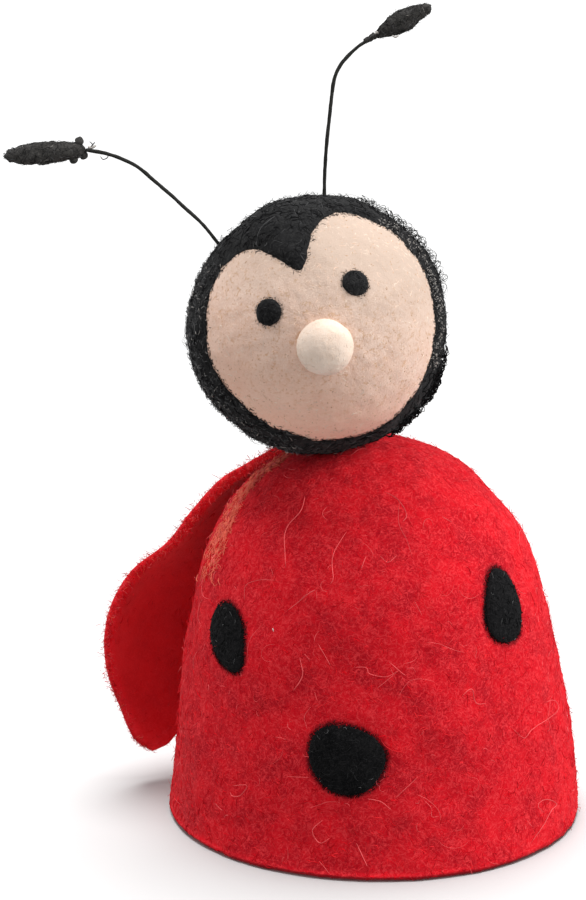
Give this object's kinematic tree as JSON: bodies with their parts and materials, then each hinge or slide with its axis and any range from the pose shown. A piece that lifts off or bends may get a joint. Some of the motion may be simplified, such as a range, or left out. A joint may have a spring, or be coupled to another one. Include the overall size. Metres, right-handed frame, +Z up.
{
  "type": "egg cosy",
  "caption": "Wool felt egg cosy in the form of a ladybird: a hollow red dome with black spots and thin wings, under a hooded ball head with wire antennae.",
  "frame": {"origin": "the middle of the bounding box on the plane that the hem rests on", "axes": "+Z up from the hem towards the antennae, the face looks along -Y, +X is to the viewer's right"},
  "size_m": [0.0986, 0.0744, 0.1416],
  "materials": {
    "red_felt": "needle felted wool with loose fibres",
    "black_felt": "needle felted wool with grey stray fibres",
    "flesh_felt": "close needle felted wool with tan specks",
    "cream_felt": "smooth firm felt",
    "black_wire": "thread covered floral wire",
    "charcoal_thread": "wound thread and wool"
  },
  "bodies": {
    "root": {"body": "red_felt", "spot_front": "black_felt", "spot_left": "black_felt", "spot_right": "black_felt", "wing_left": "red_felt", "wing_right": "red_felt", "head_ball": "flesh_felt", "hood": "black_felt", "nose": "cream_felt", "eye_left": "black_felt", "eye_right": "black_felt", "antenna_left": "black_wire", "antenna_tip_left": "charcoal_thread", "antenna_right": "black_wire", "antenna_tip_right": "charcoal_thread"}
  },
  "joints": []
}
